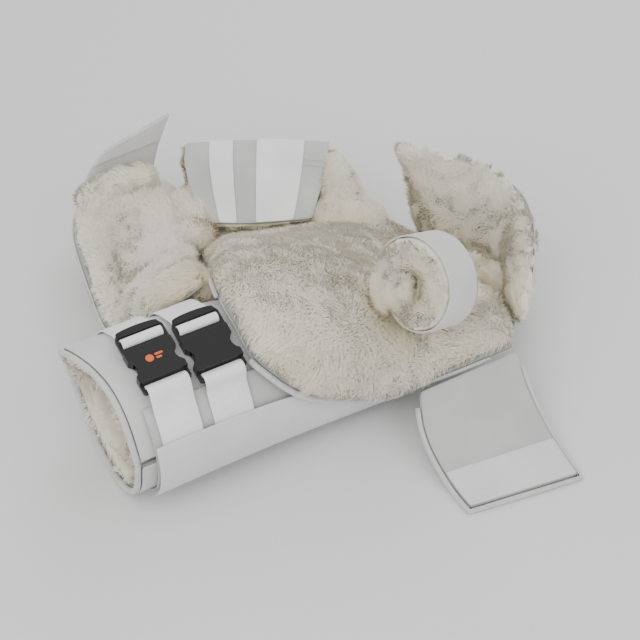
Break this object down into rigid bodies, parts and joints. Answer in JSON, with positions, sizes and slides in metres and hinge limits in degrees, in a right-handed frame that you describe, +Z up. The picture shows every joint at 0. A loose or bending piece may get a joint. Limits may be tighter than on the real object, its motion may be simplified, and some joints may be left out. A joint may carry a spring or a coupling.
{
  "type": "horse breastplate",
  "caption": "Fleece-lined padded horse breastplate, laid down with one side rolled up and buckled round into a sleeve, with folded flaps and a rolled strap.",
  "frame": {"origin": "centre of the footprint, at the level the piece lies on", "axes": "+X to the right along the width, from the rolled sleeve's mouth towards the closing flap; +Y away from the viewer, towards the folded back flap; +Z up"},
  "size_m": [0.607, 0.5616, 0.2381],
  "materials": {
    "shell_fabric": "coated woven nylon, light grey-white",
    "loop_fabric": "brushed loop fabric, light grey",
    "foam_core": "closed-cell foam, grey",
    "fleece": "deep brushed synthetic fleece, cream",
    "binding_tape": "folded binding tape, light grey",
    "hook_tape": "moulded hook tape, pale grey",
    "webbing": "ribbed flat webbing, white",
    "buckle_plastic": "moulded acetal, satin black"
  },
  "bodies": {
    "body": {"sleeve_shell": "shell_fabric", "liner_shell": "shell_fabric", "chest_shell": "shell_fabric", "left_wing_shell": "shell_fabric", "right_wing_shell": "shell_fabric", "back_panel_shell": "shell_fabric", "rolled_strap_shell": "shell_fabric", "sleeve_loop_panel": "loop_fabric", "sleeve_foam": "foam_core", "chest_foam": "foam_core", "left_wing_foam": "foam_core", "right_wing_foam": "foam_core", "back_panel_foam": "foam_core", "sleeve_fleece": "fleece", "liner_fleece": "fleece", "chest_fleece": "fleece", "left_wing_fleece": "fleece", "right_wing_fleece": "fleece", "back_panel_fleece": "fleece", "rolled_strap_fleece": "fleece", "sleeve_mouth_binding": "binding_tape", "chest_binding": "binding_tape", "closing_band_rim": "binding_tape", "flap_seam_tape": "binding_tape", "left_wing_seam": "binding_tape", "right_wing_seam": "binding_tape", "back_panel_seam": "binding_tape", "closing_hook_band": "hook_tape", "lower_web_1": "webbing", "lower_web_2": "webbing", "upper_web_1": "webbing", "upper_web_2": "webbing", "buckle_1_housing": "buckle_plastic", "buckle_2_housing": "buckle_plastic"},
    "right_flap": {"right_flap_backing": "shell_fabric", "right_flap_foam": "foam_core", "right_flap_loop_panel": "loop_fabric", "right_flap_hook_band": "hook_tape", "right_flap_binding": "binding_tape"},
    "left_flap": {"left_flap_shell": "shell_fabric", "left_flap_hook_band": "hook_tape"},
    "back_flap": {"back_flap_shell": "loop_fabric", "back_flap_foam": "foam_core", "back_flap_fleece": "fleece", "back_flap_web_1": "webbing", "back_flap_web_2": "webbing"},
    "insert_1": {"buckle_1_insert": "buckle_plastic"},
    "prong_left_1": {"buckle_1_prong_left": "buckle_plastic"},
    "prong_right_1": {"buckle_1_prong_right": "buckle_plastic"},
    "insert_2": {"buckle_2_insert": "buckle_plastic"},
    "prong_left_2": {"buckle_2_prong_left": "buckle_plastic"},
    "prong_right_2": {"buckle_2_prong_right": "buckle_plastic"}
  },
  "joints": [
    {"name": "buckle_1_slide", "type": "slide", "parent": "body", "child": "insert_1", "axis": [-0.4957, 0.8389, 0.225], "range_m": [0, 0.033], "deforming": ["upper_web_1"]},
    {"name": "buckle_1_squeeze_left", "type": "hinge", "parent": "insert_1", "child": "prong_left_1", "pos_m": [-0.18001, -0.19848, 0.18151], "axis": [0.1144, -0.1937, 0.9744], "range_deg": [0, 6], "stiffness_Nm_per_rad": 0.2},
    {"name": "buckle_1_squeeze_right", "type": "hinge", "parent": "insert_1", "child": "prong_right_1", "pos_m": [-0.1516, -0.18169, 0.18151], "axis": [0.1144, -0.1937, 0.9744], "range_deg": [-6, 0], "stiffness_Nm_per_rad": 0.2},
    {"name": "buckle_2_slide", "type": "slide", "parent": "body", "child": "insert_2", "axis": [-0.4776, 0.8225, 0.309], "range_m": [0, 0.033], "deforming": ["upper_web_2"]},
    {"name": "buckle_2_squeeze_left", "type": "hinge", "parent": "insert_2", "child": "prong_left_2", "pos_m": [-0.12412, -0.17449, 0.17739], "axis": [0.1552, -0.2672, 0.9511], "range_deg": [0, 6], "stiffness_Nm_per_rad": 0.2},
    {"name": "buckle_2_squeeze_right", "type": "hinge", "parent": "insert_2", "child": "prong_right_2", "pos_m": [-0.09558, -0.15792, 0.17739], "axis": [0.1552, -0.2672, 0.9511], "range_deg": [-6, 0], "stiffness_Nm_per_rad": 0.2},
    {"name": "right_flap_hinge", "type": "hinge", "parent": "body", "child": "right_flap", "pos_m": [0.17744, -0.09222, 0.06226], "axis": [-0.8926, -0.4463, -0.0638], "range_deg": [0, 70]},
    {"name": "left_flap_hinge", "type": "hinge", "parent": "body", "child": "left_flap", "pos_m": [-0.25256, 0.24378, 0.07726], "axis": [0.8419, 0.5212, -0.1403], "range_deg": [-40, 35]},
    {"name": "back_flap_hinge", "type": "hinge", "parent": "body", "child": "back_flap", "pos_m": [-0.06556, 0.26578, 0.09326], "axis": [0.9997, 0.0215, 0.0108], "range_deg": [-80, 0]}
  ],
  "couplings": [
    {"joint": "buckle_1_squeeze_right", "follows": "buckle_1_squeeze_left", "ratio": -1},
    {"joint": "buckle_2_squeeze_right", "follows": "buckle_2_squeeze_left", "ratio": -1}
  ]
}
